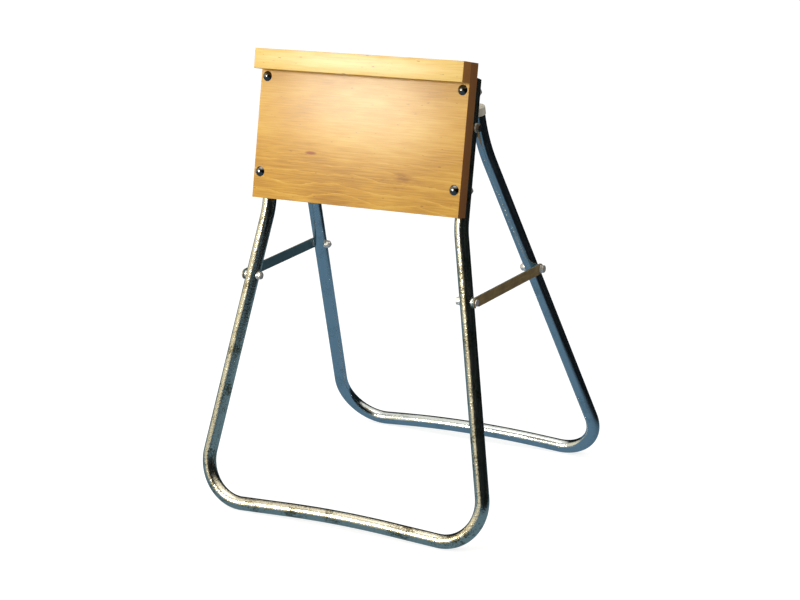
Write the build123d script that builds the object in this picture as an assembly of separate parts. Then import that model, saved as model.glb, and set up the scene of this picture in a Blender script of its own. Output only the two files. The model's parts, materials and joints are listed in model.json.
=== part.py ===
"""Folding sawhorse: two bent-tube frames hinged near the top, a wooden clamp board on the
front frame, and a flat-bar brace on each side that hooks over a stud to hold the frames apart.

Millimetres, +Z up, +X to the right, -Y to the front. The origin is on the floor, at the
middle of the footprint. The object is symmetric about the plane X = 0.
"""

from build123d import *
import math
import os

# Tubes
TUBE_RADIUS = 12.7
TUBE_WALL = 1.65
HOLE_RADIUS = 4.2

# Front frame. "Down" is measured along the frame from the board's top edge.
FRONT_LEAN = 13.4
FRONT_HALF_TOP = 197.5
FRONT_HALF_FOOT = 300.5
FRONT_TUBE_TOP = 27.0
FRONT_BEND_DOWN = 286.0
FRONT_BEND_RADIUS = 150.0
FRONT_FOOT_DOWN = 836.0
FRONT_FOOT_RADIUS = 76.0
FRONT_ARCH = 14.0
FRONT_ARCH_RADIUS = 2350.0
HINGE_DOWN = 110.0
STUD_DOWN = 409.5

# Rear frame. "Down" is measured along its legs from the bend near its top.
REAR_LEAN = 23.4
REAR_TOP_LEAN = 12.1
REAR_HALF_TOP = 184.5
REAR_HALF_FOOT = 294.0
REAR_TOP_LENGTH = 62.0
REAR_BEND_BEHIND_HINGE = 66.4
REAR_BEND_RADIUS = 400.0
REAR_FOOT_DOWN = 733.5
REAR_FOOT_RADIUS = 80.0
REAR_ARCH = 26.0
REAR_ARCH_RADIUS = 1800.0
BRACE_BOLT_DOWN = 278.5

# Board and cleat
BOARD_WIDTH = 420.0
BOARD_HEIGHT = 266.0
BOARD_THICK = 27.0
BOARD_EDGE_RADIUS = 0.8
CLEAT_HEIGHT = 36.0
CLEAT_THICK = 27.5
BOLT_ROWS = (48.0, 219.0)
SCREW_PLACES = (-120.0, 0.0, 120.0)
SCREW_LENGTH = 44.0
SCREW_RADIUS = 2.0
SCREW_HEAD_RADIUS = 4.4

# Fasteners
BOLT_RADIUS = 4.0
DOME_RADIUS = 9.2
DOME_HEIGHT = 4.6
NECK_SIDE = 7.9
NECK_DEPTH = 5.0
HEX_FLATS = 12.7
HEX_HEIGHT = 5.3
NUT_HEIGHT = 6.5
HEX_CHAMFER = 0.7
CAP_NUT_HEIGHT = 5.2
CAP_NUT_DOME = 4.1
CAP_NUT_DOME_RADIUS = 5.7
STUD_NUT_HEIGHT = 4.6
STUD_HEAD_RADIUS = 6.3
STUD_HEAD_HEIGHT = 2.4
STUD_HEAD_EDGE = 0.9
WASHER_RADIUS = 8.5
WASHER_THICK = 1.5
BOLT_FLANGE_RADIUS = 8.0
SADDLE_RADIUS = 7.5
SADDLE_THICK = 1.6
THREAD_PAST_NUT = 2.0
STUD_PAST_NUT = 1.0
LAP = 0.02

# Hinge lugs and braces
LUG_THICK = 3.0
LUG_NOSE_RADIUS = 11.0
LUG_FOOT = (4.0, 44.0)
THRUST_WASHER_THICK = 1.0
BRACE_WIDTH = 19.0
BRACE_THICK = 3.0
BRACE_REAR_X = 241.0
BRACE_FRONT_X = 235.7
RUNNING_RADIUS = 4.05
BRACE_HOLE_RADIUS = 4.2
NOTCH_RADIUS = 4.6
FOLD_LIMIT = 38.0
BRACE_SWING = 68.4
SIDE_GAP = 0.3
BRACE_GAP = 0.45
SEAT_GAP = 0.05

# End plugs and caps
PLUG_DEPTH = 15.0
PLUG_HEAD = 3.0
CAP_SKIRT = 12.0
CAP_WALL = 1.2
CAP_TOP = 3.0
CAP_EDGE_RADIUS = 2.7

SIDES = {"left": -1, "right": 1}


# ---------------------------------------------------------------- where things are


def front_outline():
    """Corners of the front tube's centreline in the plane of the frame."""
    foot = -FRONT_FOOT_DOWN
    bend = (FRONT_HALF_TOP, -FRONT_BEND_DOWN)
    right = [(FRONT_HALF_FOOT, foot), bend, (FRONT_HALF_TOP, -FRONT_TUBE_TOP)]
    left = [(-x, y) for x, y in reversed(right)]
    return left + [(0, foot + FRONT_ARCH)] + right


def rear_outline():
    """Corners of the rear tube's centreline below its top bend, in the plane of the frame."""
    foot = -REAR_FOOT_DOWN
    right = [(REAR_HALF_FOOT, foot), (REAR_HALF_TOP, 0)]
    left = [(-x, y) for x, y in reversed(right)]
    return left + [(0, foot + REAR_ARCH)] + right


def in_world(plane, outline):
    """World points of an outline drawn in a plane."""
    return [plane.from_local_coords(Vector(x, y, 0)) for x, y in outline]


def leaning_plane(lean, y=0.0, z=0.0):
    """Plane of a frame: local x across, local y up the frame, local z to the front."""
    angle = math.radians(lean)
    return Plane(origin=(0, y, z), x_dir=(1, 0, 0), z_dir=(0, -math.cos(angle), math.sin(angle)))


def foot_reach(plane, outline, foot_radius):
    """Lowest centreline height of a frame, and its Y there."""
    corners = in_world(plane, outline)
    middle = len(corners) // 2
    corner, inward, upward = corners[middle + 1], corners[middle], corners[middle + 2]
    along_bar = (inward - corner).normalized()
    along_leg = (upward - corner).normalized()
    half_angle = math.radians(along_bar.get_angle(along_leg)) / 2
    centre = corner + (along_bar + along_leg).normalized() * (foot_radius / math.sin(half_angle))
    bottom = centre - plane.y_dir * foot_radius
    return bottom.Z, bottom.Y


front_low, front_y = foot_reach(leaning_plane(FRONT_LEAN), front_outline(), FRONT_FOOT_RADIUS)
rear_low, rear_y = foot_reach(leaning_plane(-REAR_LEAN), rear_outline(), REAR_FOOT_RADIUS)
hinge_back = -HINGE_DOWN * math.sin(math.radians(FRONT_LEAN))
rear_offset = hinge_back + REAR_BEND_BEHIND_HINGE
centring = -(front_y + rear_offset + rear_y) / 2

FRONT = leaning_plane(FRONT_LEAN, centring, TUBE_RADIUS - front_low)
REAR = leaning_plane(-REAR_LEAN, centring + rear_offset, TUBE_RADIUS - rear_low)
HINGE = FRONT.from_local_coords(Vector(0, -HINGE_DOWN, 0))
STUD = FRONT.from_local_coords(Vector(0, -STUD_DOWN, 0))
BRACE_BOLT = REAR.from_local_coords(Vector(0, -BRACE_BOLT_DOWN, 0))
REAR_TOP_UP = Vector(0, -math.sin(math.radians(REAR_TOP_LEAN)), math.cos(math.radians(REAR_TOP_LEAN)))

LUG_PLANE = FRONT_HALF_TOP - TUBE_RADIUS - SEAT_GAP - THRUST_WASHER_THICK - SIDE_GAP


def leg_centre(half_top, half_foot, down, length):
    """Distance of a splayed leg's centreline from the middle plane."""
    return half_top + (half_foot - half_top) * down / length


STUD_LEG_X = leg_centre(
    FRONT_HALF_TOP, FRONT_HALF_FOOT, STUD_DOWN - FRONT_BEND_DOWN, FRONT_FOOT_DOWN - FRONT_BEND_DOWN
)
BRACE_LEG_X = leg_centre(REAR_HALF_TOP, REAR_HALF_FOOT, BRACE_BOLT_DOWN, REAR_FOOT_DOWN)


def sideways(side, x, point):
    """Plane whose z axis points outwards along X, at a point's height and depth."""
    return Plane(origin=(side * x, point.Y, point.Z), x_dir=(0, 1, 0), z_dir=(side, 0, 0))


def on_front(x, down, out):
    """Plane on the front frame whose z axis points out of the frame to the front."""
    return Plane(origin=FRONT.from_local_coords(Vector(x, -down, out)), x_dir=(1, 0, 0), z_dir=FRONT.z_dir)


# ---------------------------------------------------------------- common shapes


def rod(radius, start, end):
    """Cylinder along z from start to end."""
    return Pos(0, 0, (start + end) / 2) * Cylinder(radius, abs(end - start))


def ring(outer, inner, start, end):
    """Washer or sleeve along z from start to end."""
    return rod(outer, start, end) - rod(inner, start - 1, end + 1)


def dome(radius, height, base):
    """Spherical cap standing on z = base."""
    ball = (radius**2 + height**2) / (2 * height)
    return Pos(0, 0, base + height - ball) * Sphere(ball) & rod(radius, base, base + height)


def hex_block(base, height):
    """Hexagon with its outer corners chamfered, standing on z = base."""
    corner_radius = HEX_FLATS / math.sqrt(3)
    prism = extrude(RegularPolygon(corner_radius, 6), height)
    blank = Pos(0, 0, height / 2) * Cylinder(corner_radius, height)
    blank = chamfer(blank.edges().sort_by(Axis.Z)[-1], HEX_CHAMFER)
    return Pos(0, 0, base) * (prism & blank)


def group(solids):
    """One node of separate solids."""
    return Compound(children=[solid for part in solids for solid in part.solids()])


def tube_path(points, radii):
    """Centreline of straight runs and tangent arcs."""
    return FilletPolyline(*points, radius=radii)


def swept(path, radius):
    """Round bar of the given radius along a path."""
    return sweep(Plane(origin=path @ 0, z_dir=path % 0) * Circle(radius), path=path)


# ---------------------------------------------------------------- front frame


def front_path():
    radii = [FRONT_BEND_RADIUS, FRONT_FOOT_RADIUS, FRONT_ARCH_RADIUS, FRONT_FOOT_RADIUS, FRONT_BEND_RADIUS]
    return tube_path(in_world(FRONT, front_outline()), radii)


def board_bolt_places():
    """Across and down of the four carriage bolts."""
    return [(side * FRONT_HALF_TOP, down) for down in BOLT_ROWS for side in SIDES.values()]


def cross_hole(point, x):
    """Pair of bolt holes along X through the left and right leg."""
    reach = 2 * TUBE_RADIUS
    drills = [sideways(side, x, point) * rod(HOLE_RADIUS, -reach, reach) for side in SIDES.values()]
    return drills[0] + drills[1]


def make_front_tube():
    path = front_path()
    tube = swept(path, TUBE_RADIUS) - swept(path, TUBE_RADIUS - TUBE_WALL)
    for x, down in board_bolt_places():
        tube -= on_front(x, down, 0) * rod(HOLE_RADIUS, -2 * TUBE_RADIUS, 2 * TUBE_RADIUS)
    tube -= cross_hole(HINGE, FRONT_HALF_TOP)
    tube -= cross_hole(STUD, STUD_LEG_X)
    return tube


def make_front_plug(side):
    """Plug pushed into an open top end, with a low domed head."""
    bore = TUBE_RADIUS - TUBE_WALL - SEAT_GAP
    top = Plane(
        origin=FRONT.from_local_coords(Vector(side * FRONT_HALF_TOP, -FRONT_TUBE_TOP, 0)),
        x_dir=(1, 0, 0),
        z_dir=FRONT.y_dir,
    )
    return top * (rod(bore, -PLUG_DEPTH, 0) + dome(TUBE_RADIUS, PLUG_HEAD, 0))


BOARD_BACK = TUBE_RADIUS + SEAT_GAP
BOARD_FRONT = BOARD_BACK + BOARD_THICK


def slab(width, top, bottom, back, front):
    """Board lying in the front frame's plane, between two distances down it."""
    centre = Vector(0, -(top + bottom) / 2, (back + front) / 2)
    return FRONT * Pos(centre) * Box(width, bottom - top, front - back)


def make_board():
    """Clamp board with bolt holes, square seats for the bolt necks and screw holes."""
    board = slab(BOARD_WIDTH, 0, BOARD_HEIGHT, BOARD_BACK, BOARD_FRONT)
    board = fillet(board.edges().filter_by(Axis.X).sort_by(Axis.Z)[:2], BOARD_EDGE_RADIUS)
    for x, down in board_bolt_places():
        board -= on_front(x, down, BOARD_BACK) * rod(HOLE_RADIUS, -1, BOARD_THICK + 1)
        seat = Box(NECK_SIDE, NECK_SIDE, NECK_DEPTH)
        board -= on_front(x, down, BOARD_FRONT - NECK_DEPTH / 2) * seat
    for x in SCREW_PLACES:
        board -= screw_place(x) * screw_shape(LAP)
    return board


def make_cleat():
    """Strip glued and screwed along the top of the board's face."""
    cleat = slab(BOARD_WIDTH, 0, CLEAT_HEIGHT, BOARD_FRONT, BOARD_FRONT + CLEAT_THICK)
    front_edges = cleat.edges().filter_by(Axis.X).sort_by(Axis.Y)[:2]
    cleat = fillet(front_edges, BOARD_EDGE_RADIUS)
    for x in SCREW_PLACES:
        cleat -= screw_place(x) * screw_shape(LAP)
    return cleat


def screw_place(x):
    """Where a cleat screw's head lies, flush in the board's back, pointing to the front."""
    return on_front(x, CLEAT_HEIGHT / 2, BOARD_BACK)


def screw_shape(play):
    """Countersunk wood screw with its thread as a plain shank."""
    cone_height = SCREW_HEAD_RADIUS - SCREW_RADIUS
    head = Pos(0, 0, cone_height / 2) * Cone(SCREW_HEAD_RADIUS + play, SCREW_RADIUS + play, cone_height)
    return head + rod(SCREW_RADIUS + play, 0, SCREW_LENGTH + play)


def carriage_bolt():
    """Domed bolt: z = 0 at the board's face, the shank running back along -z."""
    end = BOARD_THICK + 2 * TUBE_RADIUS + WASHER_THICK + NUT_HEIGHT + THREAD_PAST_NUT
    neck = Pos(0, 0, -NECK_DEPTH / 2) * Box(NECK_SIDE - 2 * LAP, NECK_SIDE - 2 * LAP, NECK_DEPTH)
    return dome(DOME_RADIUS, DOME_HEIGHT, 0) + neck + rod(BOLT_RADIUS, -end, -NECK_DEPTH / 2)


def make_board_bolts(row):
    places = [(side * FRONT_HALF_TOP, BOLT_ROWS[row]) for side in SIDES.values()]
    return group([on_front(x, down, BOARD_FRONT) * carriage_bolt() for x, down in places])


def make_board_washers():
    back = -TUBE_RADIUS - SEAT_GAP
    washer = ring(WASHER_RADIUS, HOLE_RADIUS, back - WASHER_THICK, back)
    return group([on_front(x, down, 0) * washer for x, down in board_bolt_places()])


def make_board_nuts():
    back = -TUBE_RADIUS - SEAT_GAP - WASHER_THICK
    nut = Rot(180, 0, 0) * (hex_block(-back, NUT_HEIGHT) - rod(BOLT_RADIUS + LAP, -back - 1, 40))
    return group([on_front(x, down, 0) * nut for x, down in board_bolt_places()])


# ---------------------------------------------------------------- hinge

HINGE_FACE = FRONT_HALF_TOP + TUBE_RADIUS + SEAT_GAP
HINGE_NUT_FACE = LUG_PLANE - LUG_THICK - SIDE_GAP


def make_hinge_bolt(side):
    """Hex bolt through the upright and the lug, head on the outside."""
    head = HINGE_FACE + WASHER_THICK
    tip = HINGE_NUT_FACE - NUT_HEIGHT - THREAD_PAST_NUT
    return sideways(side, 0, HINGE) * (hex_block(head, HEX_HEIGHT) + rod(BOLT_RADIUS, tip, head))


def make_hinge_washers():
    """Outer washer under each head and thrust washer between upright and lug."""
    outer = ring(WASHER_RADIUS, HOLE_RADIUS, HINGE_FACE, HINGE_FACE + WASHER_THICK)
    thrust_face = LUG_PLANE + SIDE_GAP
    thrust = ring(WASHER_RADIUS, HOLE_RADIUS, thrust_face, thrust_face + THRUST_WASHER_THICK)
    return group([sideways(side, 0, HINGE) * washer for side in SIDES.values() for washer in (outer, thrust)])


def make_hinge_nuts():
    nut = hex_block(0, NUT_HEIGHT) - rod(BOLT_RADIUS + LAP, -1, NUT_HEIGHT + 1)
    return group([sideways(side, HINGE_NUT_FACE, HINGE) * Rot(180, 0, 0) * nut for side in SIDES.values()])


def make_hinge_lug(side, rear_bar):
    """Plate welded to the rear tube, reaching forward to the hinge bolt."""
    bend = Vector(0, REAR.origin.Y, REAR.origin.Z)
    foot_ends = [bend + REAR_TOP_UP * reach for reach in LUG_FOOT]
    sheet = sideways(side, LUG_PLANE, HINGE)
    low, high = [sheet.to_local_coords(point) for point in foot_ends]
    foot = Edge.make_line((low.X, low.Y), (high.X, high.Y))
    outline = make_hull([*Circle(LUG_NOSE_RADIUS).edges(), foot])
    plate = extrude(outline, -LUG_THICK) - rod(RUNNING_RADIUS, -LUG_THICK - 1, 1)
    return max((sheet * plate - rear_bar).solids(), key=lambda solid: solid.volume)


# ---------------------------------------------------------------- rear frame


def rear_path():
    lower = in_world(REAR, rear_outline())
    rise = REAR_TOP_UP * REAR_TOP_LENGTH
    radii = [REAR_BEND_RADIUS, REAR_FOOT_RADIUS, REAR_ARCH_RADIUS, REAR_FOOT_RADIUS, REAR_BEND_RADIUS]
    return tube_path([lower[0] + rise, *lower, lower[-1] + rise], radii)


def make_rear_tube():
    path = rear_path()
    tube = swept(path, TUBE_RADIUS) - swept(path, TUBE_RADIUS - TUBE_WALL)
    return tube - cross_hole(BRACE_BOLT, BRACE_LEG_X)


def make_rear_cap(side):
    """Slip-on cap over a top end of the rear tube."""
    top = REAR.origin + REAR_TOP_UP * REAR_TOP_LENGTH
    place = Plane(origin=(side * REAR_HALF_TOP, top.Y, top.Z), x_dir=(1, 0, 0), z_dir=REAR_TOP_UP)
    inside = TUBE_RADIUS + SEAT_GAP
    body = rod(inside + CAP_WALL, -CAP_SKIRT, CAP_TOP)
    body = fillet(body.edges().sort_by(Axis.Z)[-1], CAP_EDGE_RADIUS)
    return place * (body - rod(inside, -CAP_SKIRT - 1, SEAT_GAP))


# ---------------------------------------------------------------- brace fastenings

# The two legs that a brace joins aren't equally far out, so each brace toes in to the front.
BRACE_TOE_IN = math.atan2(BRACE_REAR_X - BRACE_FRONT_X, BRACE_BOLT.Y - STUD.Y)


def saddle_ring(point, x, start, end, bar):
    """Pair of sleeves on the X axis, their ends shaped to sit on the leg."""
    sleeve = ring(SADDLE_RADIUS, HOLE_RADIUS, start, end)
    cut = [sideways(side, 0, point) * sleeve - bar for side in SIDES.values()]
    return group([max(part.solids(), key=lambda solid: abs(solid.center().X - x)) for part in cut])


def make_brace_bolt(side):
    """Hex bolt with a washer face, passing the brace and the rear leg."""
    start = BRACE_REAR_X + BRACE_THICK + BRACE_GAP
    head = hex_block(start + WASHER_THICK, HEX_HEIGHT)
    flange = rod(BOLT_FLANGE_RADIUS, start, start + WASHER_THICK)
    tip = BRACE_LEG_X - TUBE_RADIUS - SADDLE_THICK - CAP_NUT_HEIGHT
    return sideways(side, 0, BRACE_BOLT) * (head + flange + rod(BOLT_RADIUS, tip, start))


def make_hook_stud(side):
    """Button-headed stud through the front leg, for the brace's notch."""
    start = BRACE_FRONT_X + BRACE_THICK + BRACE_GAP
    head = rod(STUD_HEAD_RADIUS, start, start + STUD_HEAD_HEIGHT)
    head = fillet(head.edges().sort_by(Axis.Z)[-1], STUD_HEAD_EDGE)
    tip = STUD_LEG_X - TUBE_RADIUS - SADDLE_THICK - STUD_NUT_HEIGHT - STUD_PAST_NUT
    return sideways(side, 0, STUD) * (head + rod(BOLT_RADIUS, tip, start))


def inner_nuts(point, leg_x, nut):
    """A nut on the inner side of each leg."""
    face = leg_x - TUBE_RADIUS - SADDLE_THICK
    return group([sideways(side, face, point) * Rot(180, 0, 0) * nut for side in SIDES.values()])


def make_stud_nuts():
    nut = hex_block(0, STUD_NUT_HEIGHT) - rod(BOLT_RADIUS + LAP, -1, STUD_NUT_HEIGHT + 1)
    return inner_nuts(STUD, STUD_LEG_X, nut)


def make_brace_nuts():
    """Domed nuts, closed at the end."""
    nut = hex_block(0, CAP_NUT_HEIGHT) + dome(CAP_NUT_DOME_RADIUS, CAP_NUT_DOME, CAP_NUT_HEIGHT)
    return inner_nuts(BRACE_BOLT, BRACE_LEG_X, nut - rod(BOLT_RADIUS + LAP, -1, CAP_NUT_HEIGHT + LAP))


# ---------------------------------------------------------------- braces


def notch_direction():
    """Way the stud leaves the notch, in the (Y, Z) plane, as the fold starts."""
    pivot = BRACE_BOLT - HINGE
    arm = STUD - BRACE_BOLT
    turn = 1 + BRACE_SWING / FOLD_LIMIT
    hook = Vector(0, pivot.Z + turn * arm.Z, -pivot.Y - turn * arm.Y)
    return (hook * -1).normalized()


def brace_sheet(side):
    """Plane of a brace's inner face, at its pivot, with z outwards."""
    along, out = math.cos(BRACE_TOE_IN), math.sin(BRACE_TOE_IN)
    origin = (side * BRACE_REAR_X, BRACE_BOLT.Y, BRACE_BOLT.Z)
    return Plane(origin=origin, x_dir=(side * out, along, 0), z_dir=(side * along, -out, 0))


def make_brace(side):
    """Flat bar with a pivot hole at the back and an open notch at the front."""
    sheet = brace_sheet(side)
    stud = sheet.to_local_coords(Vector(side * BRACE_FRONT_X, STUD.Y, STUD.Z))
    exit_way = sheet.to_local_coords(sheet.origin + notch_direction())
    length = math.hypot(stud.X, stud.Y)
    bar = SlotCenterToCenter(length, BRACE_WIDTH)
    bar = Pos(stud.X / 2, stud.Y / 2) * Rot(0, 0, math.degrees(math.atan2(stud.Y, stud.X))) * bar
    slope = math.degrees(math.atan2(exit_way.Y, exit_way.X))
    notch = Circle(NOTCH_RADIUS) + Pos(BRACE_WIDTH, 0) * Rectangle(2 * BRACE_WIDTH, 2 * NOTCH_RADIUS)
    outline = bar - Circle(BRACE_HOLE_RADIUS) - Pos(stud.X, stud.Y) * Rot(0, 0, slope) * notch
    return sheet * extrude(outline, BRACE_THICK)


# ---------------------------------------------------------------- write the parts


def build():
    front_bar = swept(front_path(), TUBE_RADIUS + LAP)
    rear_bar = swept(rear_path(), TUBE_RADIUS + LAP)
    stud_inner = STUD_LEG_X - TUBE_RADIUS - SADDLE_THICK + LAP
    brace_inner = BRACE_LEG_X - TUBE_RADIUS - SADDLE_THICK + LAP
    parts = {
        "front_tube": make_front_tube(),
        "clamp_board": make_board(),
        "cleat": make_cleat(),
        "cleat_screws": group([screw_place(x) * screw_shape(0) for x in SCREW_PLACES]),
        "board_bolts_upper": make_board_bolts(0),
        "board_bolts_lower": make_board_bolts(1),
        "board_washers": make_board_washers(),
        "board_nuts": make_board_nuts(),
        "hinge_washers": make_hinge_washers(),
        "hinge_nuts": make_hinge_nuts(),
        "stud_spacers": saddle_ring(STUD, 0, STUD_LEG_X, BRACE_FRONT_X - BRACE_GAP, front_bar),
        "stud_saddles": saddle_ring(STUD, STUD_LEG_X, stud_inner, STUD_LEG_X, front_bar),
        "stud_nuts": make_stud_nuts(),
        "rear_tube": make_rear_tube(),
        "brace_washers": saddle_ring(BRACE_BOLT, 0, BRACE_LEG_X, BRACE_REAR_X - BRACE_GAP, rear_bar),
        "brace_saddles": saddle_ring(BRACE_BOLT, BRACE_LEG_X, brace_inner, BRACE_LEG_X, rear_bar),
        "brace_nuts": make_brace_nuts(),
    }
    for name, side in SIDES.items():
        parts[f"front_plug_{name}"] = make_front_plug(side)
        parts[f"hinge_bolt_{name}"] = make_hinge_bolt(side)
        parts[f"hook_stud_{name}"] = make_hook_stud(side)
        parts[f"hinge_lug_{name}"] = make_hinge_lug(side, rear_bar)
        parts[f"rear_cap_{name}"] = make_rear_cap(side)
        parts[f"brace_bolt_{name}"] = make_brace_bolt(side)
        parts[f"brace_{name}"] = make_brace(side)
    return parts


os.makedirs("parts", exist_ok=True)
for node, shape in build().items():
    export_step(shape, f"parts/{node}.step")
print("hinge", HINGE, "stud", STUD, "brace bolt", BRACE_BOLT)
print("front plane", FRONT.origin, "rear plane", REAR.origin)
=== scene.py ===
# %% [markdown]
# # A folding sawhorse, finished in Blender
# The stand is two bent steel tubes hinged near the top, a wooden clamp board bolted to the
# front one, and a flat bar on each side that hooks the legs apart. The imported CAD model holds
# every size and joint. This lesson dresses it: it sweeps smooth tubes along the same
# centrelines, gives the board real timber edges and grain, and lights it all softly.

# %% Load the frame and measure it
import json
import math

import bmesh
import bpy
from mathutils import Matrix, Vector


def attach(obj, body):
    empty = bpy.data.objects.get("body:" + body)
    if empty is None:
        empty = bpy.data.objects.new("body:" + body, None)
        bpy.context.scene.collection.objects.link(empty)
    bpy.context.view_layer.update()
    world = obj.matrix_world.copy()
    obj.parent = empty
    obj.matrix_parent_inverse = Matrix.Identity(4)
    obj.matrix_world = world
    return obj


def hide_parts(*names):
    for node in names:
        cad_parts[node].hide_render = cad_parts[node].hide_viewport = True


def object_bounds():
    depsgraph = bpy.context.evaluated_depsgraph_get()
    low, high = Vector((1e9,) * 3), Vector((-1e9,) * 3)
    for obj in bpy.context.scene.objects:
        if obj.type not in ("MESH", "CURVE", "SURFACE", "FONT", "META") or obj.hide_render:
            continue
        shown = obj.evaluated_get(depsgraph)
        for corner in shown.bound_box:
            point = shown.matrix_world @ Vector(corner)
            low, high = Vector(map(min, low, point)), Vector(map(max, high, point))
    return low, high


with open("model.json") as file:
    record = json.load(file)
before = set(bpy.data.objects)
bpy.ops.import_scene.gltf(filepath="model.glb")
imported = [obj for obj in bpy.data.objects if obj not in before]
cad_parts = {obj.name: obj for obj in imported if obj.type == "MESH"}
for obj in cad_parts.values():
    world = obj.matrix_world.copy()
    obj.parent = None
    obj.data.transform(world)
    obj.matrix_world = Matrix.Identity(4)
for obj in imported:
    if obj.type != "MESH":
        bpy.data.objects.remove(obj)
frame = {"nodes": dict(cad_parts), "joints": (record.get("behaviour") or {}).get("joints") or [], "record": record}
cad_low, cad_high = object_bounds()
scene = bpy.context.scene
scene.view_settings.view_transform = "Standard"
mounts = {mount["name"]: mount for mount in frame["record"]["mounts"]}
joints = {joint["name"]: joint for joint in frame["joints"]}
print("CAD box", [round(v, 3) for v in (*cad_low, *cad_high)])

# %% [markdown]
# ## The camera
# A product shot is made from a little above the object and well to one side, with a long lens
# so that the legs don't spread. The camera is placed first, because every finish is judged
# through it. Its turn is built from three plain angles: around, down and a slight roll.

# %% Camera
CAMERA_PLACE = (1.8112, -3.1674, 1.4203)
CAMERA_AROUND = math.radians(29.84)
CAMERA_DOWN = math.radians(16.245)
CAMERA_ROLL = math.radians(-1.79)
LENS = 92.26
FAR_LIMIT = 100

camera = bpy.data.objects.new("camera", bpy.data.cameras.new("camera"))
scene.collection.objects.link(camera)
camera.data.lens = LENS
camera.data.clip_end = FAR_LIMIT
turn = Matrix.Rotation(CAMERA_AROUND, 4, "Z")
tilt = Matrix.Rotation(math.pi / 2 - CAMERA_DOWN, 4, "X")
roll = Matrix.Rotation(CAMERA_ROLL, 4, "Z")
camera.matrix_world = Matrix.Translation(CAMERA_PLACE) @ turn @ tilt @ roll
scene.camera = camera

# %% [markdown]
# ## A small kit for node trees
# The tubes, the finishes and the sky are all node trees, so one class keeps them short. It
# adds a node, then feeds each input with a value or with a link from another node. Its other
# helpers are the patterns that keep coming back: noise, a range, arithmetic and a blend.

# %% Node kit


class Nodes:
    """Adds nodes to one tree and joins them."""

    def __init__(self, tree):
        self.tree = tree

    def feed(self, socket, value):
        """Give an input a value, or a link from another node."""
        if isinstance(value, bpy.types.NodeSocket):
            self.tree.links.new(value, socket)
        else:
            socket.default_value = value

    def add(self, kind, inputs=None, **settings):
        """Add a node with its settings, then feed its inputs by name or number."""
        node = self.tree.nodes.new(kind)
        for name, value in settings.items():
            setattr(node, name, value)
        for name, value in (inputs or {}).items():
            self.feed(node.inputs[name], value)
        return node

    def noise(self, place, scale, detail=3.0, rough=0.6):
        """Noise between 0 and 1 read at a place."""
        inputs = {"Vector": place, "Scale": scale, "Detail": detail, "Roughness": rough}
        return self.add("ShaderNodeTexNoise", inputs).outputs["Fac"]

    def stretched(self, place, scale):
        """A place with its axes scaled, so that noise read there is drawn out."""
        inputs = {"Vector": place, "Scale": scale}
        return self.add("ShaderNodeMapping", inputs).outputs["Vector"]

    def fit(self, value, low, high, new_low=0.0, new_high=1.0):
        """Map a value from one range to another, clamped, with soft ends."""
        inputs = {"Value": value, "From Min": low, "From Max": high}
        inputs.update({"To Min": new_low, "To Max": new_high})
        node = self.add("ShaderNodeMapRange", inputs, interpolation_type="SMOOTHSTEP")
        return node.outputs["Result"]

    def math(self, operation, first, second=0.0):
        """Arithmetic on two numbers or sockets."""
        inputs = {0: first, 1: second}
        return self.add("ShaderNodeMath", inputs, operation=operation).outputs[0]

    def facing(self, place, way):
        """How far a place lies along a given way."""
        node = self.add("ShaderNodeVectorMath", {0: place, 1: way}, operation="DOT_PRODUCT")
        return node.outputs["Value"]

    def mix(self, amount, first, second):
        """Blend two colours by an amount."""
        node = self.add("ShaderNodeMix", {0: amount}, data_type="RGBA")
        for socket, colour in ((node.inputs[6], first), (node.inputs[7], second)):
            linked = isinstance(colour, bpy.types.NodeSocket)
            self.feed(socket, colour if linked else (*colour, 1))
        return node.outputs[2]


# %% [markdown]
# ## A material under construction
# A finish is the same kit with a Principled shader at its end. What's fed to the shader may be
# one value for the whole surface or a pattern that varies over it.

# %% Finish


class Finish(Nodes):
    """A material, its node tree and its Principled shader."""

    def __init__(self, name):
        self.material = bpy.data.materials.new(name)
        self.material.use_nodes = True
        super().__init__(self.material.node_tree)
        self.shader = self.tree.nodes["Principled BSDF"]

    def set(self, **values):
        """Feed the shader's inputs, with _ for each space in a name."""
        for name, value in values.items():
            self.feed(self.shader.inputs[name.replace("_", " ")], value)

    def object_place(self):
        """Where a point of the surface is, in the object's own coordinates."""
        return self.add("ShaderNodeTexCoord").outputs["Object"]

    def bump(self, height, strength, distance):
        """Small relief from a height pattern, sent to the shader's normal."""
        inputs = {"Height": height, "Strength": strength, "Distance": distance}
        self.set(Normal=self.add("ShaderNodeBump", inputs).outputs["Normal"])

    def ramp(self, value, stops):
        """Colour ramp through (position, colour) stops."""
        node = self.add("ShaderNodeValToRGB", {"Fac": value})
        for _ in stops[2:]:
            node.color_ramp.elements.new(0.5)
        for element, (position, colour) in zip(node.color_ramp.elements, stops):
            element.position = position
            element.color = (*colour, 1)
        return node.outputs["Color"]


# %% [markdown]
# ## Plated tube
# The tubes are bright plated steel that has seen some weather. A mirror would look like
# plastic, so two noises work along the tube: a fine one roughens and dulls it in specks, and a
# long one drags faint draw marks down its length. The place they're read at is stored by the
# sweep itself, so the marks follow the bends. The front tube is more worn. Both tubes are one
# plating, but the front copy is tinted warm and the rear copy blue-grey: painted reflections of
# the warm key light and of the blue floor that each one mirrors.

# %% Plated tube finish
DRAW_MARK_SCALE = (1.0, 1.0, 0.05)
WEAR_ROUGHNESS = 0.06
DRAW_MARK_RELIEF = 0.6


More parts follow.
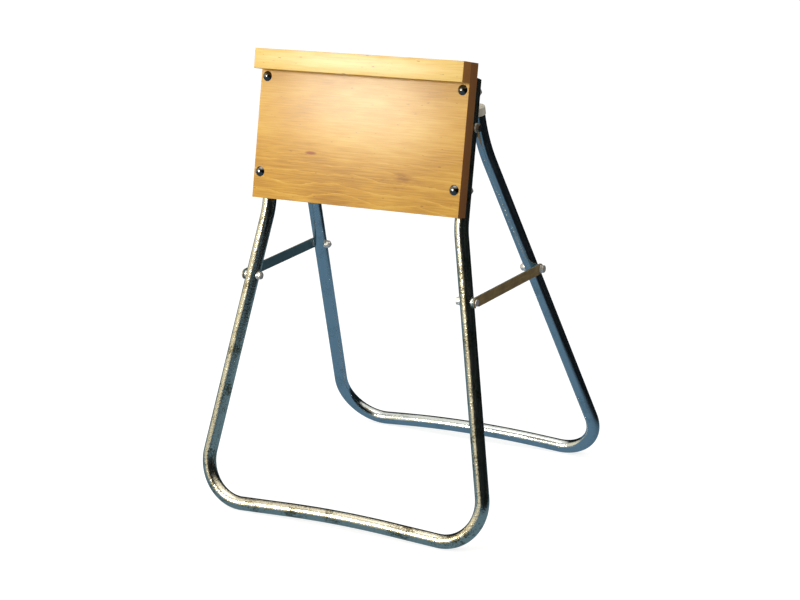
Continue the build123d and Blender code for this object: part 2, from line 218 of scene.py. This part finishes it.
def plated_steel(name, colour, dull_colour, wear):
    finish = Finish(name)
    place = finish.add("ShaderNodeAttribute", attribute_name="tube_place").outputs["Vector"]
    specks = finish.noise(place, scale=340.0)
    patches = finish.noise(place, scale=30.0)
    drawn = finish.noise(finish.stretched(place, DRAW_MARK_SCALE), scale=300.0)
    worn = finish.fit(finish.math("ADD", specks, patches), 1.02, 1.22)
    amount = finish.math("MULTIPLY", worn, wear)
    streaks = finish.fit(drawn, 0.35, 0.70, 0.07, 0.22)
    dulled = finish.math("MULTIPLY", amount, WEAR_ROUGHNESS)
    pits = finish.math("MULTIPLY", specks, wear)
    marks = finish.math("MULTIPLY", drawn, DRAW_MARK_RELIEF)
    finish.bump(finish.math("ADD", pits, marks), strength=0.55, distance=0.0007)
    finish.set(Base_Color=finish.mix(amount, colour, dull_colour))
    finish.set(Roughness=finish.math("ADD", streaks, dulled), Metallic=1.0)
    return finish.material


# Painted reflection: one plating in two tints, warm on the front copy and blue-grey on the rear copy.
FRONT_PLATING = plated_steel("front_plating", (0.80, 0.76, 0.64), (0.22, 0.19, 0.11), 1.0)
REAR_PLATING = plated_steel("rear_plating", (0.70, 0.76, 0.80), (0.42, 0.48, 0.52), 0.5)

# %% [markdown]
# ## The sweep
# A tube is a circle swept along a bent line, so Geometry Nodes makes it: the line's corners
# are filleted by a radius stored on each point, and a circle is carried along. On the way the
# tree stores the length travelled and the place on the circle. Together they give the finish
# its coordinates.

# %% Sweep tree
TUBE_SIDES = 40
BEND_STEPS = 28


def read_attribute(nodes, name, kind):
    node = nodes.add("GeometryNodeInputNamedAttribute", {"Name": name}, data_type=kind)
    return node.outputs["Attribute"]


def store_attribute(nodes, geometry, name, value, kind):
    """Store a value on the geometry under a name, and hand the geometry on."""
    inputs = {"Geometry": geometry, "Name": name, "Value": value}
    node = nodes.add("GeometryNodeStoreNamedAttribute", inputs, data_type=kind)
    return node.outputs["Geometry"]


def bent_tube_tree():
    """Fillet a line by its bend_radius attribute and sweep a circle along it."""
    tree = bpy.data.node_groups.new("bent_tube", "GeometryNodeTree")
    for name, kind in (("Line", "Geometry"), ("Tube radius", "Float"), ("Finish", "Material")):
        tree.interface.new_socket(name, in_out="INPUT", socket_type=f"NodeSocket{kind}")
    tree.interface.new_socket("Tube", in_out="OUTPUT", socket_type="NodeSocketGeometry")
    nodes = Nodes(tree)
    given = nodes.add("NodeGroupInput").outputs

    corners = nodes.add("GeometryNodeMeshToCurve", {"Mesh": given["Line"]}).outputs["Curve"]
    radius = read_attribute(nodes, "bend_radius", "FLOAT")
    fillet = {"Curve": corners, "Count": BEND_STEPS, "Radius": radius}
    bent = nodes.add("GeometryNodeFilletCurve", fillet, mode="POLY").outputs["Curve"]
    length = nodes.add("GeometryNodeSplineParameter").outputs["Length"]
    path = store_attribute(nodes, bent, "along", length, "FLOAT")

    ring = {"Resolution": TUBE_SIDES, "Radius": given["Tube radius"]}
    circle = nodes.add("GeometryNodeCurvePrimitiveCircle", ring).outputs["Curve"]
    position = nodes.add("GeometryNodeInputPosition").outputs["Position"]
    profile = store_attribute(nodes, circle, "around", position, "FLOAT_VECTOR")

    sweep = {"Curve": path, "Profile Curve": profile, "Fill Caps": True}
    tube = nodes.add("GeometryNodeCurveToMesh", sweep).outputs["Mesh"]
    lift = nodes.add("ShaderNodeCombineXYZ", {"Z": read_attribute(nodes, "along", "FLOAT")})
    both = {0: read_attribute(nodes, "around", "FLOAT_VECTOR"), 1: lift.outputs["Vector"]}
    place = nodes.add("ShaderNodeVectorMath", both).outputs["Vector"]
    tube = store_attribute(nodes, tube, "tube_place", place, "FLOAT_VECTOR")

    solid = nodes.add("GeometryNodeRealizeInstances", {"Geometry": tube}).outputs["Geometry"]
    coat = nodes.add("GeometryNodeSetMaterial", {"Geometry": solid, "Material": given["Finish"]})
    nodes.add("NodeGroupOutput", {"Tube": coat.outputs["Geometry"]})
    return tree


BENT_TUBE = bent_tube_tree()
print("sweep tree with", len(BENT_TUBE.nodes), "nodes")

# %% [markdown]
# ## From a line to a finished piece
# The tree needs an object to work on: a bare line with a bend radius on each point. What grows
# out of it is kept as a plain mesh, and the line is thrown away. Shading is smooth except
# where the surface turns sharply, as it does at a tube's cut end.

# %% Line, growth and shading


def line_of(name, points, radii):
    """Mesh line with a bend radius on each point, ready to be swept."""
    mesh = bpy.data.meshes.new(name)
    mesh.from_pydata(points, [(i, i + 1) for i in range(len(points) - 1)], [])
    bends = mesh.attributes.new("bend_radius", "FLOAT", "POINT")
    for item, radius in zip(bends.data, radii):
        item.value = radius
    source = bpy.data.objects.new(f"{name}_source", mesh)
    scene.collection.objects.link(source)
    return source


def grown(source, tree, values):
    """Run a geometry tree on an object and return the result as a plain mesh object."""
    modifier = source.modifiers.new("grow", "NODES")
    modifier.node_group = tree
    for item in tree.interface.items_tree:
        if item.name in values:
            modifier[item.identifier] = values[item.name]
    ready = source.evaluated_get(bpy.context.evaluated_depsgraph_get())
    mesh = bpy.data.meshes.new_from_object(ready)
    piece = bpy.data.objects.new(source.name.replace("_source", ""), mesh)
    scene.collection.objects.link(piece)
    bpy.data.objects.remove(source)
    return piece


def smooth(piece, angle=40.0):
    """Shade smooth, with edges sharper than the angle kept crisp."""
    mesh = piece.data
    mesh.shade_smooth()
    work = bmesh.new()
    work.from_mesh(mesh)
    for edge in work.edges:
        inside = len(edge.link_faces) == 2
        edge.smooth = inside and edge.calc_face_angle(0) < math.radians(angle)
    work.to_mesh(mesh)
    work.free()


# %% [markdown]
# ## Where the two frames lie
# The front frame leans back and the rear frame leans the other way. Each has a starting point
# and an up direction taken from the record: the front one from the board's mounts, the rear
# one from the pivot of a brace. The rear tube bends once more and stands straighter at the top.

# %% Frame planes
TUBE_RADIUS = 0.0127
BOARD_THICK = 0.027
BOARD_SEAT = 0.00005
REAR_LEAN = math.radians(23.4)
REAR_TOP_LEAN = math.radians(12.1)
REAR_BEND_ABOVE_PIVOT = 0.2785

board_top = Vector(mounts["board_top"]["pos_m"])
board_up = Vector(mounts["board_top"]["axis"])
board_out = Vector(mounts["cleat_face"]["axis"])
front_start = board_top - board_out * (TUBE_RADIUS + BOARD_SEAT + BOARD_THICK / 2)
brace_pivot = Vector(joints["brace_right_swing"]["pos_m"])
rear_up = Vector((0, -math.sin(REAR_LEAN), math.cos(REAR_LEAN)))
rear_start = Vector((0, brace_pivot.y, brace_pivot.z)) + rear_up * REAR_BEND_ABOVE_PIVOT
rear_top_up = Vector((0, -math.sin(REAR_TOP_LEAN), math.cos(REAR_TOP_LEAN)))
print("front starts at", front_start, "and rear at", rear_start)

# %% [markdown]
# ## The two bent tubes
# Both outlines are mirror images about the middle, so only the right half is written down.
# Each row has half the width there, the distance down from the start, and the bend's radius.
# The last row is the middle of the crossbar, whose large radius arches it off the floor.

# %% Front and rear tube
FRONT_ROWS = [
    (0.1975, 0.027, 0.0),  # top end
    (0.1975, 0.286, 0.150),  # bend below the board
    (0.3005, 0.836, 0.076),  # foot corner
    (0.0, 0.822, 2.35),  # middle of the crossbar
]
REAR_ROWS = [
    (0.1845, 0.0, 0.400),  # bend below the top end
    (0.2940, 0.7335, 0.080),  # foot corner
    (0.0, 0.7075, 1.80),  # middle of the crossbar
]
REAR_TOP_LENGTH = 0.062


def half_outline(start, up, rows):
    """Points of the right half, each with its bend radius."""
    return [(start + Vector((x, 0, 0)) - up * down, radius) for x, down, radius in rows]


def mirrored(half):
    """Whole outline from its right half, which starts at the top and ends at the middle."""
    left = [(Vector((-point.x, point.y, point.z)), radius) for point, radius in half]
    return left + list(reversed(half[:-1]))


def make_tube(name, half, finish, node, body):
    points, radii = zip(*mirrored(half))
    values = {"Tube radius": TUBE_RADIUS, "Finish": finish}
    tube = grown(line_of(name, points, radii), BENT_TUBE, values)
    smooth(tube)
    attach(tube, body)
    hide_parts(node)
    low = min(v.co.z for v in tube.data.vertices)
    print(name, len(tube.data.polygons), "faces, lowest point", round(low * 1000, 2), "mm")


front_half = half_outline(front_start, board_up, FRONT_ROWS)
rear_half = half_outline(rear_start, rear_up, REAR_ROWS)
rear_top_end = rear_half[0][0] + rear_top_up * REAR_TOP_LENGTH
rear_half.insert(0, (rear_top_end, 0.0))
make_tube("front_tube_swept", front_half, FRONT_PLATING, "front_tube", "front_frame")
make_tube("rear_tube_swept", rear_half, REAR_PLATING, "rear_tube", "rear_frame")

# %% [markdown]
# ## Growth rings
# The board is a plain-sawn plank: its rings are cut at a shallow angle, so the face shows long
# wandering lines and the ends show the rings themselves. The simplest honest way is to model
# the log. Rings are distances from a centre line that runs along the board and wanders a
# little, so face and ends agree with no extra work. They also bend around the one knot.

# %% Board coordinates and rings
PITH_DRIFT = 0.10
RING_WOBBLE = 0.016
KNOT_PUSH = 0.006
LATE_WOOD_POWER = 9.0


def board_place(finish):
    """Coordinates lying in the board: x along, y through, z up its face, in metres."""
    lean = math.atan2(board_up.y, board_up.z)
    shift = {0: finish.object_place(), 1: board_top}
    moved = finish.add("ShaderNodeVectorMath", shift, operation="SUBTRACT").outputs[0]
    turned = finish.add("ShaderNodeMapping", {"Vector": moved, "Rotation": (lean, 0, 0)})
    return turned.outputs["Vector"]


def blotch(finish, axes, centre, half_size, outer, inner):
    """Soft oval on the face: 0 beyond the outer limit, rising to 1 at the inner one."""
    squares = []
    for axis, middle, half in zip("XZ", centre, half_size):
        offset = finish.math("DIVIDE", finish.math("SUBTRACT", axes[axis], middle), half)
        squares.append(finish.math("MULTIPLY", offset, offset))
    return finish.fit(finish.math("ADD", *squares), outer, inner)


def late_wood(finish, axes, slow, wobble, near_knot, pith, ring_gap):
    """Dark edge of each ring, by distance from a pith at (depth, height) that wanders."""
    drift = finish.math("MULTIPLY", finish.noise(slow, 1.7, detail=2.0, rough=0.5), PITH_DRIFT)
    sway = finish.math("MULTIPLY", wobble, RING_WOBBLE)
    push = finish.math("MULTIPLY", near_knot, KNOT_PUSH)
    depth = finish.math("ADD", finish.math("SUBTRACT", axes["Y"], pith[0]), drift)
    height = finish.math("ADD", finish.math("SUBTRACT", axes["Z"], pith[1]), sway)
    height = finish.math("ADD", height, push)
    squares = [finish.math("MULTIPLY", side, side) for side in (depth, height)]
    distance = finish.math("SQRT", finish.math("ADD", *squares))
    rings = finish.math("FRACT", finish.math("DIVIDE", distance, ring_gap))
    return finish.math("POWER", rings, LATE_WOOD_POWER)


# %% [markdown]
# ## Varnished softwood
# Over the rings go fine fibres, short flecks and slow patches of colour, all in one tone that a
# ramp turns into yellow and brown. The lower part of the face is darker, with a patch of curly
# figure. End grain drinks the varnish, so it's much darker and has no gloss coat.

# %% Wood finish
KNOT_PLACE = (-0.094, -0.178)
NO_KNOT = (0.5, 0.5)
KNOT_SIZE = (0.0120, 0.0032)
FIGURE_PLACE = (0.075, -0.215)
FIGURE_SIZE = (0.045, 0.012)
FIGURE_DEPTH = 0.35
BOARD_WIDTH = 0.420
END_GRAIN_FROM = BOARD_WIDTH / 2 - 0.0008
END_GRAIN_FULL = BOARD_WIDTH / 2 - 0.0002
VARNISH_COAT = 0.50
LIGHT_PINE = (0.74, 0.47, 0.100)
MIDDLE_PINE = (0.60, 0.31, 0.036)
DARK_PINE = (0.27, 0.095, 0.010)
KNOT_COLOUR = (0.30, 0.070, 0.012)


def wood_tone(finish, axes, slow, wobble, fibres, late):
    """How dark the wood is, before any colour."""
    patches = finish.noise(slow, 3.2, detail=3.0, rough=0.55)
    ring_contrast = finish.fit(axes["Z"], -0.15, -0.22, 0.04, 0.30)
    curl = finish.fit(wobble, 0.40, 0.62, 0.0, FIGURE_DEPTH)
    figured = blotch(finish, axes, FIGURE_PLACE, FIGURE_SIZE, 3.0, 0.0)
    lines = finish.math("MULTIPLY", late, ring_contrast)
    tone = finish.math("SUBTRACT", finish.math("MULTIPLY", patches, 0.80), lines)
    tone = finish.math("ADD", tone, finish.fit(fibres, 0.3, 0.7, -0.10, 0.14))
    tone = finish.math("ADD", tone, finish.math("MULTIPLY", figured, curl))
    return finish.math("ADD", tone, finish.fit(axes["Z"], -0.11, -0.25, 0.0, 0.16))


def softwood(name, pith, light, middle, end_colour, ring_gap, knot_place):
    finish = Finish(name)
    place = board_place(finish)
    axes = finish.add("ShaderNodeSeparateXYZ", {"Vector": place}).outputs
    slow = finish.stretched(place, (1.6, 5.0, 5.0))
    wobble = finish.noise(slow, 9.0)
    near_knot = blotch(finish, axes, knot_place, KNOT_SIZE, 9.0, 0.0)
    in_knot = blotch(finish, axes, knot_place, KNOT_SIZE, 1.5, 0.1)
    late = late_wood(finish, axes, slow, wobble, near_knot, pith, ring_gap)
    along_grain = finish.stretched(place, (7.0, 190.0, 190.0))
    fibres = finish.noise(along_grain, 2.4, detail=5.0, rough=0.65)
    flecks = finish.noise(finish.stretched(place, (70.0, 300.0, 300.0)), 1.0, 1.0, 0.5)

    tone = wood_tone(finish, axes, slow, wobble, fibres, late)
    colour = finish.ramp(tone, [(0.05, light), (0.45, middle), (0.95, DARK_PINE)])
    colour = finish.mix(finish.fit(flecks, 0.71, 0.77, 0.0, 0.75), colour, DARK_PINE)
    colour = finish.mix(finish.math("MULTIPLY", in_knot, 0.95), colour, KNOT_COLOUR)
    from_middle = finish.math("ABSOLUTE", axes["X"])
    end = finish.fit(from_middle, END_GRAIN_FROM, END_GRAIN_FULL, 0.0, 0.85)
    coat = finish.math("MULTIPLY", finish.math("SUBTRACT", 1.0, end), VARNISH_COAT)
    relief = finish.math("ADD", fibres, finish.math("MULTIPLY", late, 0.5))
    finish.bump(relief, strength=0.12, distance=0.0008)
    finish.set(Base_Color=finish.mix(end, colour, end_colour), Coat_Weight=coat)
    finish.set(Roughness=finish.fit(fibres, 0.3, 0.7, 0.36, 0.48))
    finish.set(Coat_Roughness=0.25, Specular_IOR_Level=0.15)
    return finish.material


BOARD_END = (0.24, 0.088, 0.036)
CLEAT_PINE = (0.80, 0.60, 0.20)
CLEAT_END = (0.42, 0.15, 0.04)
BOARD_WOOD = softwood(
    "board_softwood", (0.10, -0.30), LIGHT_PINE, MIDDLE_PINE, BOARD_END, 0.0125, KNOT_PLACE)
CLEAT_WOOD = softwood(
    "cleat_softwood", (0.06, 0.12), CLEAT_PINE, LIGHT_PINE, CLEAT_END, 0.008, NO_KNOT)

# %% [markdown]
# ## Board and cleat
# Both are planed timber with eased edges. A block with a small three-step bevel is enough, as
# long as the bevel is real: its highlight is what tells the eye that the edge is wood and not
# a paper fold.

# %% Board and cleat
BOARD_HEIGHT = 0.266
BOARD_EASE = 0.0009
CLEAT_THICK = 0.0275
CLEAT_HEIGHT = 0.036
CLEAT_EASE = 0.0011
CRISP_ABOVE = 35


def planed_block(name, size, top_centre, finish, node, ease):
    """Block in the board's plane, sized across, through and up from its top middle."""
    width, thick, tall = size
    work = bmesh.new()
    bmesh.ops.create_cube(work, size=1.0)
    axes = Matrix((Vector((1, 0, 0)), -board_out, board_up)).transposed()
    for vertex in work.verts:
        x, y, z = vertex.co
        vertex.co = top_centre + axes @ Vector((x * width, y * thick, (z - 0.5) * tall))
    bmesh.ops.bevel(
        work, geom=work.edges, offset=ease, segments=3, profile=0.6, affect="EDGES")
    bmesh.ops.recalc_face_normals(work, faces=work.faces)
    mesh = bpy.data.meshes.new(name)
    work.to_mesh(mesh)
    work.free()
    mesh.materials.append(finish)
    piece = bpy.data.objects.new(name, mesh)
    scene.collection.objects.link(piece)
    smooth(piece, CRISP_ABOVE)
    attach(piece, "front_frame")
    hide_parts(node)
    print(name, [round(length * 1000, 1) for length in size], "mm")


board_size = (BOARD_WIDTH, BOARD_THICK, BOARD_HEIGHT)
cleat_size = (BOARD_WIDTH, CLEAT_THICK, CLEAT_HEIGHT)
cleat_top = board_top + board_out * (BOARD_THICK + CLEAT_THICK) / 2
planed_block("board_planed", board_size, board_top, BOARD_WOOD, "clamp_board", BOARD_EASE)
planed_block("cleat_planed", cleat_size, cleat_top, CLEAT_WOOD, "cleat", CLEAT_EASE)

# %% [markdown]
# ## Fastener metal and moulded caps
# Small parts carry their own finishes: dark polished domes on the board, dull zinc on the
# hinge bolts, bright zinc on the nuts and washers, and plastic on the tubes' open ends.

# %% Fastener and cap finishes


def turned_metal(name, colour, roughness, speck, metallic=1.0, coat=0.0):
    finish = Finish(name)
    specks = finish.noise(finish.object_place(), scale=700.0)
    darker = tuple(channel * (1 - speck) for channel in colour)
    finish.set(Base_Color=finish.mix(finish.fit(specks, 0.45, 0.7), colour, darker))
    finish.set(Roughness=finish.fit(specks, 0.35, 0.75, roughness, roughness + 0.15))
    finish.set(Metallic=metallic, Coat_Weight=coat, Coat_Roughness=0.06)
    finish.bump(specks, strength=0.08, distance=0.0004)
    return finish.material


def moulded(name, colour):
    finish = Finish(name)
    place = finish.object_place()
    darker = tuple(channel * 0.8 for channel in colour)
    stains = finish.noise(place, scale=60.0)
    finish.set(Base_Color=finish.mix(stains, colour, darker), Roughness=0.45)
    finish.bump(finish.noise(place, 900.0, 2.0, 0.5), strength=0.15, distance=0.0003)
    return finish.material


BOLT_METAL = turned_metal("polished_dome", (0.15, 0.145, 0.14), 0.12, 0.3, coat=1.0)
HINGE_METAL = turned_metal("dull_zinc", (0.46, 0.43, 0.37), 0.25, 0.3)
NUT_METAL = turned_metal("bright_zinc", (0.88, 0.87, 0.84), 0.22, 0.25, metallic=0.6)
LUG_METAL = turned_metal("lug_plate", (0.42, 0.44, 0.44), 0.30, 0.3)
CAP_PLASTIC = moulded("cap_plastic", (0.80, 0.75, 0.62))
PLUG_PLASTIC = moulded("plug_plastic", (0.03, 0.03, 0.032))

# %% [markdown]
# ## The brace bars
# A brace is a drawn flat bar. Its outer face has weathered to brown, and its inner face is
# bare steel painted dark blue-grey, a painted reflection of the blue floor and the dark room.
# The change lies within the bar's thickness, so the finish measures how far outside the bar's
# inner face a point is, and follows the bar's slight toe-in.

# %% Brace finish
BRACE_INNER_FACE = 0.241
BRACE_TOE_IN = 0.0215
WEATHERED_FROM = BRACE_INNER_FACE + 0.0010
WEATHERED_FULL = BRACE_INNER_FACE + 0.0026


def drawn_bar(name, colour, dark, inner):
    finish = Finish(name)
    place = finish.object_place()
    axes = finish.add("ShaderNodeSeparateXYZ", {"Vector": place}).outputs
    lines = finish.noise(finish.stretched(place, (60.0, 8.0, 420.0)), 3.0, detail=4.0)
    stains = finish.noise(place, 38.0, detail=4.0)
    tone = finish.fit(finish.math("ADD", lines, stains), 0.75, 1.25)
    ahead = finish.math("SUBTRACT", brace_pivot.y, axes["Y"])
    toe_in = finish.math("MULTIPLY", ahead, BRACE_TOE_IN)
    outward = finish.math("ADD", finish.math("ABSOLUTE", axes["X"]), toe_in)
    weathered = finish.fit(outward, WEATHERED_FROM, WEATHERED_FULL)
    brown = finish.mix(tone, colour, dark)
    # Outer face gets the real weathered brown, and inner face gets the painted dark blue-grey reflection.
    finish.set(Base_Color=finish.mix(weathered, inner, brown), Metallic=0.35)
    finish.set(Roughness=finish.fit(stains, 0.3, 0.7, 0.38, 0.55))
    finish.bump(lines, strength=0.12, distance=0.0005)
    return finish.material


WEATHERED_BROWN = (0.44, 0.31, 0.14)
DARK_BROWN = (0.27, 0.19, 0.085)
# Painted reflection: the inner face's dark blue-grey stands in for the floor and room that bare steel mirrors.
INNER_BLUE_REFLECTION = (0.085, 0.175, 0.215)
BRACE_METAL = drawn_bar("brace_bar", WEATHERED_BROWN, DARK_BROWN, INNER_BLUE_REFLECTION)

# %% [markdown]
# ## Dressing the small pieces
# The tubes and the timber were remade above. Every other piece keeps its CAD shape and gets a
# finish by name. The ones not named here are bright zinc: the braces' bolts and every nut,
# washer, screw, stud, saddle and sleeve.

# %% Finish by name
FINISHES = {
    "board_bolts_upper": BOLT_METAL,
    "board_bolts_lower": BOLT_METAL,
    "hinge_bolt_left": HINGE_METAL,
    "hinge_bolt_right": HINGE_METAL,
    "brace_left": BRACE_METAL,
    "brace_right": BRACE_METAL,
    "hinge_lug_left": LUG_METAL,
    "hinge_lug_right": LUG_METAL,
    "rear_cap_left": CAP_PLASTIC,
    "rear_cap_right": CAP_PLASTIC,
    "front_plug_left": PLUG_PLASTIC,
    "front_plug_right": PLUG_PLASTIC,
}
for name, node in frame["nodes"].items():
    for slot in node.material_slots:
        slot.material = FINISHES.get(name, NUT_METAL)
print(len(FINISHES), "of", len(frame["nodes"]), "nodes have a finish of their own")

# %% [markdown]
# ## Floor
# Metal shows what is around it, so the surroundings are most of its finish. The floor is
# staged like a studio set, with a different look for each kind of ray. The camera sees a pale
# floor. Reflections see steel-blue that falls off to near black on the right. Light that
# bounces off it is a plain grey.

# %% Floor
FLOOR_HALF = 12.0
FLOOR_GREY = (0.42, 0.42, 0.42, 1)
FLOOR_GLOW = 0.74
RIGHTWARD = (0.94, 0.34, 0)
MIRRORED_BLUE = (0.115, 0.205, 0.28)
MIRRORED_BLACK = (0.004, 0.006, 0.007)
BOUNCED_GREY = (0.34, 0.35, 0.37)

pale = Finish("pale_floor")
pale.set(Roughness=0.9, Base_Color=FLOOR_GREY)
pale.set(Emission_Color=(1, 1, 1, 1), Emission_Strength=FLOOR_GLOW)
shade = pale.fit(pale.facing(pale.object_place(), RIGHTWARD), 0.30, 0.62)
mirrored_colour = pale.mix(shade, MIRRORED_BLUE, MIRRORED_BLACK)
ray = pale.add("ShaderNodeLightPath").outputs
unseen_colour = pale.mix(ray["Is Glossy Ray"], BOUNCED_GREY, mirrored_colour)
unseen = pale.add("ShaderNodeEmission", {"Color": unseen_colour}).outputs[0]
by_ray = {0: ray["Is Camera Ray"], 1: unseen, 2: pale.shader.outputs[0]}
shown = pale.add("ShaderNodeMixShader", by_ray).outputs[0]
pale.feed(pale.tree.nodes["Material Output"].inputs["Surface"], shown)

floor_mesh = bpy.data.meshes.new("floor")
corners = [(x * FLOOR_HALF, y * FLOOR_HALF, 0) for x, y in ((-1, -1), (1, -1), (1, 1), (-1, 1))]
floor_mesh.from_pydata(corners, [], [(0, 1, 2, 3)])
floor_mesh.materials.append(pale.material)
floor = bpy.data.objects.new("floor", floor_mesh)
scene.collection.objects.link(floor)

# %% [markdown]
# ## Sky
# The sky is staged in the same way. The camera sees white. Reflections see a dark room with a
# warm wall at the front left and a bright ceiling. Everything else is lit by a soft fill that
# is stronger from the front left.

# %% Sky
PALE_SKY = (1.0, 1.0, 1.0)
DARK_ROOM = (0.006, 0.010, 0.011)
WARM_WALL = (0.92, 0.83, 0.60)
CEILING = (1.0, 0.95, 0.82)
ROOM_FILL = (0.80, 0.80, 0.80)
DIM_SIDE = (0.36, 0.35, 0.33)
TOWARD_WALL = Vector((-0.80, -0.60, 0.05)).normalized()
TOWARD_FILL = Vector((-0.55, -0.45, 0.70)).normalized()

world = bpy.data.worlds.new("studio")
world.use_nodes = True
scene.world = world
sky = Nodes(world.node_tree)
direction = sky.add("ShaderNodeTexCoord").outputs["Generated"]
height = sky.add("ShaderNodeSeparateXYZ", {"Vector": direction}).outputs["Z"]
near_wall = sky.fit(sky.facing(direction, TOWARD_WALL), 0.62, 0.78)
near_fill = sky.fit(sky.facing(direction, TOWARD_FILL), -0.10, 0.55)
room = sky.mix(near_wall, DARK_ROOM, WARM_WALL)
room = sky.mix(sky.fit(height, 0.62, 0.80), room, CEILING)
fill = sky.mix(near_fill, DIM_SIDE, ROOM_FILL)
ray = sky.add("ShaderNodeLightPath").outputs
sky_colour = sky.mix(ray["Is Glossy Ray"], fill, room)
sky_colour = sky.mix(ray["Is Camera Ray"], sky_colour, PALE_SKY)
background = sky.tree.nodes["Background"]
sky.feed(background.inputs["Color"], sky_colour)
background.inputs["Strength"].default_value = 1.0

# %% [markdown]
# ## Lights
# Two soft area lights do the rest. The key stands at the front left and is slightly warm, and
# a broad weak one overhead opens up the shadows. Both point at the middle of the CAD box.

# %% Lights


def soft_light(name, place, size, power, colour):
    data = bpy.data.lights.new(name, "AREA")
    data.shape = "RECTANGLE"
    data.size, data.size_y = size
    data.energy = power
    data.color = colour
    light = bpy.data.objects.new(name, data)
    light.location = place
    light.rotation_mode = "QUATERNION"
    light.rotation_quaternion = (middle - Vector(place)).to_track_quat("-Z", "Y")
    scene.collection.objects.link(light)


middle = (cad_low + cad_high) / 2
soft_light("key", (-1.6, -2.75, 1.6), size=(0.95, 0.60), power=60, colour=(1.0, 0.96, 0.86))
soft_light("top", (-0.3, -0.5, 3.0), size=(2.0, 1.4), power=12, colour=(1.0, 0.98, 0.93))
